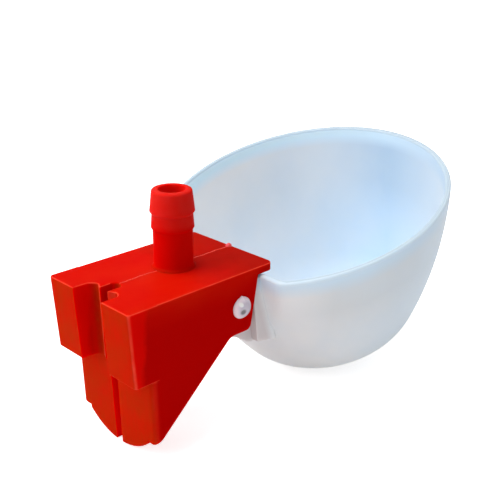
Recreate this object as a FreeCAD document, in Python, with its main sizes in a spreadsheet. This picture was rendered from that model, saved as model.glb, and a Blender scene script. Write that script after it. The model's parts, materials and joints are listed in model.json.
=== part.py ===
import FreeCAD, Part

# Chick waterer: a tipping drinking bowl on a bracket that hooks onto a cage.
#
# The row frame has its origin on the water inlet's axis, at the roof's top face. +Z is up, +Y points from
# the cage to the bowl and +X to the side that carries the hinge pin's head. Lengths are in millimetres.
# The bowl and the valve seal are drawn in a frame of their own, with its origin on the hinge axis and its
# rim level, and are placed tipped up, as the empty bowl stands.

import math
import os

import Sketcher

Vector = FreeCAD.Vector

# Driving dimensions

SIZES = {
    # bracket, in plan
    "half_width": 13.6,
    "rear_reach": 22.8,
    "front_reach": 17.2,
    "roof_thickness": 1.75,
    "roof_corner": 1.6,
    "side_wall": 1.7,
    # bracket, the two ears and the T slot between them
    "ear_drop": 16.8,
    "ear_lean": 1.1,
    "ear_length": 7.2,
    "ear_proud": 0.15,
    "ear_round": 0.9,
    "mouth_half_width": 4.9,
    "mouth_round": 1.7,
    "channel_width": 2.8,
    "lip_reach": 3.0,
    "lip_proud": 0.8,
    # bracket, the slit column and its tongue
    "column_setback": 5.0,
    "column_inner_setback": 8.2,
    "column_lean": 1.03,
    "column_round": 1.8,
    "leg_drop": 32.4,
    "slit_width": 2.0,
    "tongue_half_width": 10.2,
    "tongue_drop": 37.0,
    "tongue_radius": 15.3,
    # bracket, outline of the side walls
    "front_edge_top": 12.75,
    "front_edge_bottom": 10.1,
    "lobe_drop": 14.05,
    "lobe_back": 4.25,
    "lobe_front_round": 1.4,
    "lobe_back_round": 3.0,
    "foot_back": 15.35,
    "foot_drop": 31.2,
    "edge_round": 0.35,
    # barbed water inlet on the roof
    "barb_height": 17.36,
    "barb_top_radius": 4.35,
    "barb_round": 0.5,
    "first_barb_radius": 4.87,
    "first_barb_drop": 4.75,
    "second_barb_root_radius": 4.45,
    "second_barb_radius": 4.67,
    "second_barb_drop": 8.35,
    "barb_step": 0.6,
    "neck_radius": 4.33,
    "neck_foot_round": 0.5,
    "bore_radius": 3.0,
    # bracket, valve nozzle under the roof
    "nozzle_drop": 2.25,
    "nozzle_root_radius": 3.1,
    "nozzle_tip_radius": 1.9,
    "orifice_radius": 1.1,
    # hinge
    "hinge_forward": 7.4,
    "hinge_drop": 8.0,
    "pin_radius": 1.5,
    "pin_head_radius": 2.6,
    "pin_head_height": 1.7,
    "pin_end_radius": 2.0,
    "pin_end_height": 0.6,
    "pin_seat_fit": 0.02,
    "pin_running_fit": 0.06,
    "rest_tilt": 17.4,
    # bowl
    "bowl_reach": 36.5,
    "rim_height": 4.07,
    "rim_radius": 36.05,
    "rim_round": 0.5,
    "side_radius": 107.5,
    "heel_radius": 15.7,
    "floor_radius": 10.5,
    "bowl_depth": 42.1,
    "bowl_wall": 1.4,
    "flat_setback": 6.63,
    "flat_round": 4.0,
    "rim_relief": 0.45,
    # bowl, the neck and the arm
    "neck_gap": 0.3,
    "neck_side_gap": 0.2,
    "neck_waist_drop": 1.28,
    "neck_underside": 14.0,
    "throat_back": 0.8,
    "throat_drop": 11.4,
    "elbow_back": 2.2,
    "elbow_drop": 7.75,
    "arm_bend": 2.5,
    "tail_back": 13.75,
    "tail_rise": 1.7,
    "arm_side_gap": 0.4,
    "arm_wall": 1.4,
    "arm_floor": 1.8,
    "boss_radius": 3.1,
    "boss_height": 1.3,
    # valve seal on its stem
    "seal_radius": 2.6,
    "seal_thickness": 1.8,
    "seal_round": 0.35,
    "seal_seat_depth": 1.0,
    "seal_fit": 0.05,
    "seal_closed_gap": 0.08,
    "stem_wall": 0.7,
    # return spring
    "spring_seat_drop": 8.75,
    "spring_seat_radius": 5.0,
    "spring_radius": 4.62,
    "spring_wire_radius": 0.27,
    "spring_turns": 4.5,
    "spring_end_gap": 0.02,
}

document = FreeCAD.newDocument("ChickWaterer")
sheet = document.addObject("Spreadsheet::Sheet", "size")
for row, (alias, value) in enumerate(SIZES.items(), start=1):
    sheet.set(f"A{row}", alias)
    sheet.set(f"B{row}", str(value))
    sheet.setAlias(f"B{row}", alias)
document.recompute()


# Drawing helpers

def number(expression):
    """Value of an expression on the sheet, in millimetres or degrees."""
    value = sheet.evalExpression(expression)
    return float(getattr(value, "Value", value))


def new_body(name):
    """Empty body whose label names its file."""
    body = document.addObject("PartDesign::Body", name)
    body.Label = name
    return body


def new_sketch(body, name, plane, shift="0", lift="0"):
    """Sketch on one of the body's own origin planes, shifted along its first axis and lifted off it."""
    sketch = body.newObject("Sketcher::SketchObject", name)
    support = next(item for item in body.Origin.OriginFeatures if item.Role == plane)
    sketch.AttachmentSupport = (support, "")
    sketch.MapMode = "FlatFace"
    sketch.setExpression("AttachmentOffset.Base.x", shift)
    sketch.setExpression("AttachmentOffset.Base.z", lift)
    return sketch


def bind(sketch, kind, *where, to):
    """Dimensional constraint tied to an expression on the sheet."""
    index = sketch.addConstraint(Sketcher.Constraint(kind, *where, number(to)))
    sketch.setExpression(f"Constraints[{index}]", to)


def place(sketch, geometry, end, across, up):
    """Hold one end of a line or arc at (across, up) from the sketch's origin."""
    bind(sketch, "DistanceX", geometry, end, to=across)
    bind(sketch, "DistanceY", geometry, end, to=up)


def outline(body, name, plane, corners, shift="0", lift="0"):
    """Closed outline through corners (across, up) or (across, up, rounding), given as expressions."""
    sketch = new_sketch(body, name, plane, shift, lift)
    points = [Vector(number(corner[0]), number(corner[1]), 0) for corner in corners]
    count = len(points)
    starts = list(points)
    ends = points[1:] + points[:1]
    arcs = {}
    for index, corner in enumerate(corners):
        if len(corner) == 2:
            continue
        back = (points[index - 1] - points[index]).normalize()
        ahead = (points[(index + 1) % count] - points[index]).normalize()
        half_angle = back.getAngle(ahead) / 2
        radius = number(corner[2])
        centre = points[index] + (back + ahead).normalize() * (radius / math.sin(half_angle))
        run = radius / math.tan(half_angle)
        ends[index - 1] = points[index] + back * run
        starts[index] = points[index] + ahead * run
        turns_left = ahead.cross(back).z > 0
        first, last = (ends[index - 1], starts[index]) if turns_left else (starts[index], ends[index - 1])
        angles = [math.atan2(point.y - centre.y, point.x - centre.x) for point in (first, last)]
        circle = Part.Circle(centre, Vector(0, 0, 1), radius)
        arcs[index] = (Part.ArcOfCircle(circle, *angles), turns_left)
    for start, end in zip(starts, ends):
        sketch.addGeometry(Part.LineSegment(start, end))
    for index, corner in enumerate(corners):
        before = (index - 1) % count
        if index not in arcs:
            sketch.addConstraint(Sketcher.Constraint("Coincident", before, 2, index, 1))
            place(sketch, index, 1, corner[0], corner[1])
            continue
        arc_geometry, turns_left = arcs[index]
        arc = sketch.addGeometry(arc_geometry)
        apex = sketch.addGeometry(Part.Point(points[index]), True)
        arc_start, arc_end = (1, 2) if turns_left else (2, 1)
        sketch.addConstraint(Sketcher.Constraint("Tangent", before, 2, arc, arc_start))
        sketch.addConstraint(Sketcher.Constraint("Tangent", arc, arc_end, index, 1))
        sketch.addConstraint(Sketcher.Constraint("PointOnObject", apex, 1, before))
        sketch.addConstraint(Sketcher.Constraint("PointOnObject", apex, 1, index))
        place(sketch, apex, 1, corner[0], corner[1])
        bind(sketch, "Radius", arc, to=corner[2])
    return sketch


def disc(body, name, plane, across, up, radius, lift="0"):
    """Circle of a radius at (across, up), given as expressions."""
    sketch = new_sketch(body, name, plane, lift=lift)
    centre = Vector(number(across), number(up), 0)
    sketch.addGeometry(Part.Circle(centre, Vector(0, 0, 1), number(radius)))
    place(sketch, 0, 3, across, up)
    bind(sketch, "Radius", 0, to=radius)
    return sketch


def extrude(body, kind, name, sketch, length, symmetric=False, reverse=False):
    """Pad or Pocket of a sketch, to one side of it or half to each."""
    feature = body.newObject(f"PartDesign::{kind}", name)
    feature.Profile = sketch
    feature.setExpression("Length", length)
    feature.SideType = "Symmetric" if symmetric else "One side"
    feature.Reversed = reverse
    before = feature.BaseFeature.Shape.Volume if feature.BaseFeature else 0.0
    document.recompute()
    grown = feature.Shape.Volume - before
    if (grown <= 0) == (kind == "Pad"):
        raise ValueError(f"{name} points away from the solid")
    return feature


def pad(body, name, sketch, length, **options):
    return extrude(body, "Pad", name, sketch, length, **options)


def pocket(body, name, sketch, length, **options):
    return extrude(body, "Pocket", name, sketch, length, **options)


def revolve(body, name, sketch):
    """Full turn of a sketch about its own vertical axis."""
    feature = body.newObject("PartDesign::Revolution", name)
    feature.Profile = sketch
    feature.ReferenceAxis = (sketch, ["V_Axis"])
    feature.Angle = 360
    document.recompute()
    return feature


def loft(body, name, first, last):
    """Solid between two outlines."""
    feature = body.newObject("PartDesign::AdditiveLoft", name)
    feature.Profile = first
    feature.Sections = [last]
    feature.Ruled = True
    document.recompute()
    return feature


def round_edges(body, name, base, radius, wanted):
    """Fillet on every edge of the base for which wanted(edge) holds."""
    edges = [f"Edge{n}" for n, edge in enumerate(base.Shape.Edges, start=1) if wanted(edge)]
    if not edges:
        raise ValueError(f"{name} finds no edge")
    fillet = body.newObject("PartDesign::Fillet", name)
    fillet.Base = (base, edges)
    fillet.setExpression("Radius", radius)
    document.recompute()
    if not fillet.isValid():
        raise ValueError(f"{name} fails on {edges}")
    return fillet


def near(value, expected, slack=1e-3):
    return abs(value - expected) < slack


def upright(edge):
    """Whether an edge is straight and stands along Z or leans a little from it."""
    box = edge.BoundBox
    return edge.Curve.TypeId == "Part::GeomLine" and box.ZLength > 3 * (box.XLength + box.YLength)


# Bracket

REAR = "-size.rear_reach"
COLUMN_TOP = "size.column_setback - size.rear_reach"
COLUMN_INNER = "size.column_inner_setback - size.rear_reach"
HINGE = ("size.hinge_forward", "-size.hinge_drop")


def column_back(drop):
    """Setback of the column's leaning rear face at a drop below the roof's top."""
    return f"{COLUMN_TOP} + size.column_lean * ({drop}) / size.leg_drop"


def add_walls(body):
    """Side walls, roof and column as one silhouette, then the open space between the side walls."""
    silhouette = outline(body, "side_outline", "YZ_Plane", [
        (COLUMN_TOP, "0"),
        (column_back("size.leg_drop"), "-size.leg_drop"),
        ("-size.foot_back", "-size.foot_drop"),
        ("size.lobe_back", "-size.lobe_drop", "size.lobe_back_round"),
        ("size.front_edge_bottom", "-size.lobe_drop", "size.lobe_front_round"),
        ("size.front_edge_top", "0"),
    ])
    pad(body, "walls", silhouette, "2 * size.half_width", symmetric=True)
    hollow = outline(body, "hollow_outline", "YZ_Plane", [
        (COLUMN_INNER, "-size.roof_thickness"),
        ("size.front_reach", "-size.roof_thickness"),
        ("size.front_reach", "-size.tongue_drop"),
        (COLUMN_INNER, "-size.tongue_drop"),
    ])
    pocket(body, "hollow", hollow, "2 * (size.half_width - size.side_wall)", symmetric=True)


def add_roof(body):
    plan = outline(body, "roof_outline", "XY_Plane", [
        ("-size.half_width", COLUMN_TOP),
        ("size.half_width", COLUMN_TOP),
        ("size.half_width", "size.front_reach", "size.roof_corner"),
        ("-size.half_width", "size.front_reach", "size.roof_corner"),
    ])
    pad(body, "roof", plan, "size.roof_thickness", reverse=True)
    column_top = number(COLUMN_TOP)

    def top_rim(edge):
        box = edge.BoundBox
        return box.ZLength < 0.01 and near(box.ZMax, 0) and box.YMax > column_top + 0.01

    round_edges(body, "roof_rounds", body.Tip, "size.edge_round", top_rim)


def add_tongue(body):
    """Round end of the column that reaches down between the legs."""
    inner_lift = "size.rear_reach - size.column_inner_setback"
    sketch = new_sketch(body, "tongue_outline", "XZ_Plane", lift=inner_lift)
    half = number("size.tongue_half_width")
    radius = number("size.tongue_radius")
    centre = Vector(0, number("size.tongue_radius - size.tongue_drop"), 0)
    reach = math.asin(half / radius)
    foot = centre.y - radius * math.cos(reach)
    corners = [Vector(half, foot, 0), Vector(half, centre.y, 0)]
    corners += [Vector(-corner.x, corner.y, 0) for corner in reversed(corners)]
    circle = Part.Circle(centre, Vector(0, 0, 1), radius)
    sketch.addGeometry(Part.ArcOfCircle(circle, -math.pi / 2 - reach, -math.pi / 2 + reach))
    for start, end in zip(corners, corners[1:]):
        sketch.addGeometry(Part.LineSegment(start, end))
    for line in range(4):
        sketch.addConstraint(Sketcher.Constraint("Coincident", line, 2, (line + 1) % 4, 1))
    place(sketch, 0, 3, "0", "size.tongue_radius - size.tongue_drop")
    bind(sketch, "Radius", 0, to="size.tongue_radius")
    place(sketch, 1, 2, "size.tongue_half_width", "size.tongue_radius - size.tongue_drop")
    place(sketch, 2, 2, "-size.tongue_half_width", "size.tongue_radius - size.tongue_drop")
    bind(sketch, "DistanceX", 1, 1, to="size.tongue_half_width")
    bind(sketch, "DistanceX", 3, 2, to="-size.tongue_half_width")
    pad(body, "tongue", sketch, "size.column_inner_setback - size.column_setback")
    behind = outline(body, "tongue_back_outline", "YZ_Plane", [
        (COLUMN_TOP, "0"),
        (REAR, "0"),
        (REAR, "-size.tongue_drop"),
        (column_back("size.tongue_drop"), "-size.tongue_drop"),
    ])
    pocket(body, "tongue_back", behind, "2 * size.half_width", symmetric=True)


def add_ears(body):
    """Two blocks behind the column, with the mouth of the T slot between them."""
    side = outline(body, "ear_outline", "YZ_Plane", [
        (REAR, "0"),
        (f"{REAR} + size.ear_lean", "-size.ear_drop"),
        (f"{REAR} + size.ear_length", "-size.ear_drop"),
        (f"{REAR} + size.ear_length", "0"),
    ])
    pad(body, "ears", side, "2 * (size.half_width + size.ear_proud)", symmetric=True)
    mouth = outline(body, "mouth_outline", "YZ_Plane", [
        (REAR, "0"),
        (COLUMN_TOP, "0"),
        (column_back("size.ear_drop"), "-size.ear_drop"),
        (REAR, "-size.ear_drop"),
    ])
    pocket(body, "mouth", mouth, "2 * size.mouth_half_width", symmetric=True)


def add_mouth_lips(body):
    """Ridges beside the channel, on the leaning rear face of the column, that narrow the mouth to the channel."""
    lean = "size.column_lean * size.ear_drop / size.leg_drop"
    for side, name in ((1, "right"), (-1, "left")):
        levels = []
        for level, setback, lift in (("top", "0", "0"), ("foot", lean, "-size.ear_drop")):
            face = f"{COLUMN_TOP} + {setback}"
            levels.append(outline(body, f"{name}_lip_{level}", "XY_Plane", [
                (f"{side} * size.channel_width / 2", f"{face} - size.lip_proud"),
                (f"{side} * size.lip_reach", face),
                (f"{side} * size.lip_reach", f"{face} + size.lip_proud"),
                (f"{side} * size.channel_width / 2", f"{face} + size.lip_proud"),
            ], lift=lift))
        loft(body, f"{name}_lip", *levels)


def add_slit(body):
    """Stem of the T: a round-ended channel in the roof and a tapering slit down the column and its tongue."""
    channel = outline(body, "channel_outline", "XY_Plane", [
        ("-size.channel_width / 2", REAR),
        ("size.channel_width / 2", REAR),
        ("size.channel_width / 2", COLUMN_INNER, "0.45 * size.channel_width"),
        ("-size.channel_width / 2", COLUMN_INNER, "0.45 * size.channel_width"),
    ])
    pocket(body, "channel", channel, "size.roof_thickness")
    start = "size.rear_reach - size.column_inner_setback - size.side_wall"
    slit = outline(body, "slit_outline", "XZ_Plane", [
        ("-size.channel_width / 2", "-size.roof_thickness"),
        ("size.channel_width / 2", "-size.roof_thickness"),
        ("size.slit_width / 2", "-size.tongue_drop"),
        ("-size.slit_width / 2", "-size.tongue_drop"),
    ], lift=start)
    pocket(body, "slit", slit, "size.column_inner_setback + size.side_wall", reverse=True)


def add_nozzle(body):
    """Valve nozzle under the roof, with the orifice that the seal closes."""
    nozzle = outline(body, "nozzle_outline", "XZ_Plane", [
        ("0", "-size.roof_thickness / 2"),
        ("size.nozzle_root_radius", "-size.roof_thickness / 2"),
        ("size.nozzle_root_radius", "-size.roof_thickness"),
        ("size.nozzle_tip_radius", "-size.roof_thickness - size.nozzle_drop"),
        ("0", "-size.roof_thickness - size.nozzle_drop"),
    ])
    revolve(body, "nozzle", nozzle)
    orifice = disc(body, "orifice_circle", "XY_Plane", "0", "0", "size.orifice_radius")
    pocket(body, "orifice", orifice, "size.roof_thickness + size.nozzle_drop")


def soften_bracket(body):
    """Rounded edges of the moulding, largest first."""
    rear = number(REAR)
    half_width = number("size.half_width")
    ear_half_width = number("size.half_width + size.ear_proud")
    mouth_half_width = number("size.mouth_half_width")
    ear_drop = number("size.ear_drop")
    column_top = number(COLUMN_TOP)

    def in_ear(edge):
        return edge.BoundBox.ZMin > -ear_drop - 0.01

    def at_rear(edge):
        return edge.BoundBox.YMin < rear + 0.01

    def ear_corner(edge):
        return upright(edge) and at_rear(edge) and near(abs(edge.CenterOfMass.x), ear_half_width)

    def mouth_corner(edge):
        inside = near(abs(edge.CenterOfMass.x), mouth_half_width)
        return upright(edge) and in_ear(edge) and inside and near(edge.BoundBox.YMin, column_top)

    def column_corner(edge):
        below = edge.BoundBox.ZMax < -ear_drop + 0.01
        behind = edge.BoundBox.YMax < number(column_back("size.leg_drop")) + 0.01
        return upright(edge) and below and behind and near(abs(edge.CenterOfMass.x), half_width)

    round_edges(body, "ear_rounds", body.Tip, "size.ear_round", ear_corner)
    round_edges(body, "mouth_rounds", body.Tip, "size.mouth_round", mouth_corner)
    round_edges(body, "column_rounds", body.Tip, "size.column_round", column_corner)

    def ear_rim(edge):
        box = edge.BoundBox
        behind = box.YMin < column_top - 0.01 and box.YMax < rear + number("size.ear_length") + 0.01
        level = box.ZLength < 0.01 and behind
        top = near(box.ZMax, 0)
        bottom = near(box.ZMax, -ear_drop) and abs(edge.CenterOfMass.x) > mouth_half_width + 0.01
        return level and (top or bottom)

    round_edges(body, "ear_rims", body.Tip, "size.edge_round", ear_rim)


def build_bracket():
    body = new_body("bracket")
    add_walls(body)
    add_roof(body)
    add_tongue(body)
    add_ears(body)
    add_mouth_lips(body)
    add_slit(body)
    add_nozzle(body)
    pin_hole = disc(body, "pin_circle", "YZ_Plane", *HINGE, "size.pin_radius + size.pin_seat_fit")
    pocket(body, "pin_holes", pin_hole, "2 * size.half_width", symmetric=True)
    soften_bracket(body)
    return body


# Water inlet

def build_inlet_barb():
    """Hose tail with two barbs that stands on the roof, as one revolved wall round the open bore."""
    body = new_body("inlet_barb")
    second_drop = "size.barb_height - size.second_barb_drop"
    first_drop = "size.barb_height - size.first_barb_drop"
    wall = outline(body, "barb_outline", "XZ_Plane", [
        ("size.bore_radius", "0"),
        ("size.neck_radius + size.neck_foot_round", "0"),
        ("size.neck_radius", "size.neck_foot_round", "size.neck_foot_round"),
        ("size.neck_radius", f"{second_drop} - size.barb_step"),
        ("size.second_barb_radius", second_drop),
        ("size.second_barb_root_radius", f"{first_drop} - size.barb_step"),
        ("size.first_barb_radius", first_drop),
        ("size.barb_top_radius", "size.barb_height", "size.barb_round"),
        ("size.bore_radius", "size.barb_height"),
    ])
    revolve(body, "barb", wall)
    return body


# Hinge pin

def build_hinge_pin():
    """Plastic rivet through both side walls, with a domed head on +X and a smaller snapped end on -X."""
    body = new_body("hinge_pin")
    profile = outline(body, "pin_outline", "XY_Plane", [
        ("0", "-size.half_width - size.pin_end_height"),
        ("size.pin_end_radius", "-size.half_width - size.pin_end_height", "0.7 * size.pin_end_height"),
        ("size.pin_end_radius", "-size.half_width"),
        ("size.pin_radius", "-size.half_width"),
        ("size.pin_radius", "size.half_width"),
        ("size.pin_head_radius", "size.half_width"),
        ("size.pin_head_radius", "size.half_width + size.pin_head_height", "0.85 * size.pin_head_height"),
        ("0", "size.half_width + size.pin_head_height"),
    ])
    revolve(body, "pin", profile)
    body.Placement.Rotation = FreeCAD.Rotation(Vector(0, 0, 1), -90)
    body.setExpression("Placement.Base.y", HINGE[0])
    body.setExpression("Placement.Base.z", HINGE[1])
    return body


# Bowl, drawn from the hinge axis with its rim level

# The level bowl holds the seal's top just under the nozzle.
SEAL_TOP = "(size.hinge_drop - size.roof_thickness - size.nozzle_drop - size.seal_closed_gap)"
SEAL_FOOT = f"({SEAL_TOP} - size.seal_thickness)"


def tip_up(body):
    """Place a body that is drawn from the hinge axis as the empty bowl stands."""
    body.Placement = FreeCAD.Placement(Vector(), FreeCAD.Rotation(Vector(1, 0, 0), number("size.rest_tilt")))
    body.setExpression("Placement.Rotation.Angle", "size.rest_tilt")
    body.setExpression("Placement.Base.y", HINGE[0])
    body.setExpression("Placement.Base.z", HINGE[1])


def side_arc_centre(rim, heel_centre, side, heel):
    """Centre of the side's arc, which starts at the rim and touches the heel's arc from inside."""
    span = heel_centre - rim
    along = (side ** 2 - (side - heel) ** 2 + span.Length ** 2) / (2 * span.Length)
    aside = math.sqrt(side ** 2 - along ** 2)
    direction = span.normalize()
    return rim + direction * along + Vector(direction.y, -direction.x, 0) * aside


def add_round_form(body, name, inset):
    """Bowl's full round form, of two tangent arcs and a flat floor, drawn inwards by an inset."""
    rim_at = (f"size.rim_radius - {inset}", "size.rim_height")
    floor_at = ("size.floor_radius", f"size.rim_height - size.bowl_depth + {inset}")
    side_radius = f"size.side_radius - {inset}"
    heel_radius = f"size.heel_radius - {inset}"
    rim = Vector(number(rim_at[0]), number(rim_at[1]), 0)
    floor = Vector(number(floor_at[0]), number(floor_at[1]), 0)
    side = number(side_radius)
    heel = number(heel_radius)
    heel_centre = floor + Vector(0, heel, 0)
    side_centre = side_arc_centre(rim, heel_centre, side, heel)
    outwards = heel_centre - side_centre
    rim_angle = math.atan2(rim.y - side_centre.y, rim.x - side_centre.x)
    heel_angle = math.atan2(outwards.y, outwards.x)
    sketch = new_sketch(body, f"{name}_outline", "YZ_Plane", shift="size.bowl_reach")
    upwards = Vector(0, 0, 1)
    rim_middle = Vector(0, rim.y, 0)
    floor_middle = Vector(0, floor.y, 0)
    sketch.addGeometry([
        Part.LineSegment(rim_middle, rim),
        Part.ArcOfCircle(Part.Circle(side_centre, upwards, side), heel_angle, rim_angle),
        Part.ArcOfCircle(Part.Circle(heel_centre, upwards, heel), -math.pi / 2, heel_angle),
        Part.LineSegment(floor, floor_middle),
        Part.LineSegment(floor_middle, rim_middle),
    ])
    for ends in ((0, 2, 1, 2), (3, 2, 4, 1), (4, 2, 0, 1)):
        sketch.addConstraint(Sketcher.Constraint("Coincident", *ends))
    for ends in ((1, 1, 2, 2), (2, 1, 3, 1)):
        sketch.addConstraint(Sketcher.Constraint("Tangent", *ends))
    bind(sketch, "Radius", 1, to=side_radius)
    bind(sketch, "Radius", 2, to=heel_radius)
    place(sketch, 0, 1, "0", rim_at[1])
    place(sketch, 0, 2, *rim_at)
    place(sketch, 3, 1, *floor_at)
    place(sketch, 3, 2, "0", floor_at[1])
    revolve(body, name, sketch)


def cut_flat(body, name, inset):
    """Cut the round form off at the back, along the bowl's flat rear wall, and blend the wall into it."""
    behind = "size.bowl_reach - size.rim_radius - size.bowl_wall"
    below = "size.rim_height - size.bowl_depth"
    back = outline(body, f"{name}_outline", "YZ_Plane", [
        (behind, "size.rim_height"),
        (f"size.flat_setback + {inset}", "size.rim_height"),
        (f"size.flat_setback + {inset}", below),
        (behind, below),
    ])
    pocket(body, name, back, "2 * size.rim_radius", symmetric=True)
    flat = number(f"size.flat_setback + {inset}")
    rim_height = number("size.rim_height")

    def flat_edge(edge):
        box = edge.BoundBox
        level = near(box.ZMin, rim_height) and near(box.ZMax, rim_height)
        return near(box.YMin, flat) and near(box.YMax, flat) and not level

    round_edges(body, f"{name}_rounds", body.Tip, f"size.flat_round - {inset}", flat_edge)


def add_vessel(body):
    """Round bowl with a flat rear wall and a soft rim, hollowed by a form that leaves an even wall."""
    add_round_form(body, "vessel", "0")
    cut_flat(body, "flat", "0")
    cavity = new_body("bowl_cavity")
    add_round_form(cavity, "cavity", "size.bowl_wall")
    cut_flat(cavity, "cavity_flat", "size.bowl_wall")
    hollow = body.newObject("PartDesign::Boolean", "hollow_vessel")
    hollow.Type = "Cut"
    hollow.setObjects([cavity])
    document.recompute()
    rim_height = number("size.rim_height")

    def rim_edge(edge):
        box = edge.BoundBox
        return near(box.ZMin, rim_height) and near(box.ZMax, rim_height)

    round_edges(body, "rim_rounds", body.Tip, "size.rim_round", rim_edge)


# The neck's rear face clears the side walls' front edge when the bowl stands tipped up, in its upper part,
# and when it is level, in its lower part.

def clear_of_walls(height, tilt):
    """Least distance ahead of the hinge axis that clears the side walls at a height, for one tilt."""
    slope = "(size.front_edge_top - size.front_edge_bottom) / size.lobe_drop"
    edge_ahead = f"(size.front_edge_top - size.hinge_forward - {slope} * size.hinge_drop + size.neck_gap)"
    turn = f"({tilt}) * 1deg"
    return (f"({edge_ahead} + ({height}) * (sin({turn}) + {slope} * cos({turn})))"
            f" / (cos({turn}) - {slope} * sin({turn}))")


def add_neck_and_arm(body):
    """Solid neck and arm behind the flat, which are opened into a chute afterwards."""
    anchor = "size.flat_setback + 0.5 * size.bowl_wall"
    top = "size.rim_height"
    hang = "-size.neck_underside - 0.3 * size.bowl_wall"
    arm = outline(body, "arm_outline", "YZ_Plane", [
        (anchor, top),
        ("-size.tail_back", top),
        ("-size.tail_back", "size.tail_rise"),
        ("-size.elbow_back", "-size.elbow_drop", "size.arm_bend"),
        ("size.throat_back", "-size.throat_drop", "size.arm_bend"),
        ("size.flat_setback", "-size.neck_underside"),
        (anchor, hang),
    ])
    arm_half_width = "size.half_width - size.side_wall - size.arm_side_gap"
    pad(body, "arm", arm, f"2 * ({arm_half_width})", symmetric=True)
    tilt = "size.rest_tilt"
    turning_height = "-size.neck_waist_drop"
    neck = outline(body, "neck_outline", "YZ_Plane", [
        (anchor, top),
        ("size.flat_setback", top),
        (clear_of_walls(turning_height, tilt), turning_height),
        (clear_of_walls("-size.throat_drop", "0"), "-size.throat_drop"),
        ("size.flat_setback", "-size.neck_underside"),
        (anchor, hang),
    ])
    pad(body, "neck", neck, "2 * (size.half_width - size.neck_side_gap)", symmetric=True)


def open_chute(body):
    """Water way from above the valve down into the bowl, and the lowered rim that clears the roof."""
    inner_half_width = "size.half_width - size.side_wall - size.arm_side_gap - size.arm_wall"
    inside = "size.flat_setback + 1.1 * size.bowl_wall"
    tail = "-size.tail_back + size.arm_wall"
    floor_slope = "(size.tail_rise + size.elbow_drop) / (size.tail_back - size.elbow_back)"
    chute = outline(body, "chute_outline", "YZ_Plane", [
        (inside, "size.rim_height"),
        (tail, "size.rim_height"),
        (tail, f"size.tail_rise + size.arm_floor - size.arm_wall * {floor_slope}"),
        ("-size.elbow_back", "-size.elbow_drop + size.arm_floor", "size.arm_bend"),
        ("size.throat_back", "-size.throat_drop + size.arm_floor", "size.arm_bend"),
        (inside, "-size.neck_underside + 0.7 * size.arm_floor"),
    ])
    pocket(body, "chute", chute, f"2 * ({inner_half_width})", symmetric=True)
    relief = outline(body, "rim_relief_outline", "YZ_Plane", [
        ("size.flat_setback - size.bowl_wall", "size.rim_height"),
        ("size.flat_setback - size.bowl_wall", "size.rim_height - size.rim_relief"),
        (inside, "size.rim_height - size.rim_relief"),
        (inside, "size.rim_height"),
    ])
    pocket(body, "rim_relief", relief, "2 * (size.half_width + size.neck_gap)", symmetric=True)


def add_valve_stem(body):
    """Level spring seat on the chute's floor, with the stem that holds the seal rising through it."""
    across = "-size.hinge_forward"
    seat_height = "size.hinge_drop - size.spring_seat_drop"
    turn = "(size.rest_tilt) * 1deg"
    seat_across = f"({across} * cos({turn}) + ({seat_height}) * sin({turn}))"
    seat_up = f"(size.hinge_forward * sin({turn}) + ({seat_height}) * cos({turn}))"
    seat = disc(body, "spring_seat_circle", "XY_Plane", "0", seat_across, "size.spring_seat_radius",
                lift="size.rim_height")
    pad(body, "spring_seat", seat, "size.rim_height + size.elbow_drop", reverse=True)
    reach = "(size.spring_seat_radius + size.seal_fit)"
    above = outline(body, "spring_seat_top_outline", "YZ_Plane", [
        (f"{seat_across} - {reach}", f"{seat_up} + {reach} * tan({turn})"),
        (f"{seat_across} + {reach}", f"{seat_up} - {reach} * tan({turn})"),
        (f"{seat_across} + {reach}", "size.rim_height"),
        (f"{seat_across} - {reach}", "size.rim_height"),
    ])
    pocket(body, "spring_seat_top", above, f"2 * {reach}", symmetric=True)
    below = outline(body, "arm_underside_outline", "YZ_Plane", [
        ("-size.tail_back", "size.tail_rise"),
        ("-size.elbow_back", "-size.elbow_drop"),
        ("-size.tail_back", "-size.elbow_drop"),
    ])
    pocket(body, "arm_underside", below, f"2 * {reach}", symmetric=True)
    stem_top = f"{SEAL_FOOT} + size.seal_seat_depth"
    socket_radius = "size.seal_radius + size.seal_fit"
    stem_radius = f"{socket_radius} + size.stem_wall"
    stem = disc(body, "stem_circle", "XY_Plane", "0", across, stem_radius, lift=stem_top)
    pad(body, "stem", stem, stem_top, reverse=True)
    socket = disc(body, "seal_socket_circle", "XY_Plane", "0", across, socket_radius, lift=stem_top)
    pocket(body, "seal_socket", socket, "size.seal_seat_depth")


def add_pin_bosses(body):
    """Bosses inside the arm's cheeks, and the bore that turns on the pin."""
    cheek = "size.half_width - size.side_wall - size.arm_side_gap - size.arm_wall"
    for side, name in ((1, "right"), (-1, "left")):
        lift = f"{side} * ({cheek} - size.boss_height)"
        ring = disc(body, f"{name}_boss_circle", "YZ_Plane", "0", "0", "size.boss_radius", lift=lift)
        pad(body, f"{name}_boss", ring, "size.boss_height", reverse=side < 0)
    bore = disc(body, "pin_bore_circle", "YZ_Plane", "0", "0", "size.pin_radius + size.pin_running_fit")
    pocket(body, "pin_bore", bore, "2 * size.half_width", symmetric=True)


def build_bowl():
    body = new_body("bowl")
    add_vessel(body)
    add_neck_and_arm(body)
    open_chute(body)
    add_valve_stem(body)
    add_pin_bosses(body)
    tip_up(body)
    return body


# Valve seal

def build_valve_seal():
    """Rubber button in the stem's socket."""
    body = new_body("valve_seal")
    profile = outline(body, "seal_outline", "YZ_Plane", [
        ("0", SEAL_FOOT),
        ("size.seal_radius", SEAL_FOOT),
        ("size.seal_radius", SEAL_TOP, "size.seal_round"),
        ("0", SEAL_TOP),
    ], shift="-size.hinge_forward")
    revolve(body, "seal", profile)
    tip_up(body)
    return body


# Return spring

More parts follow.
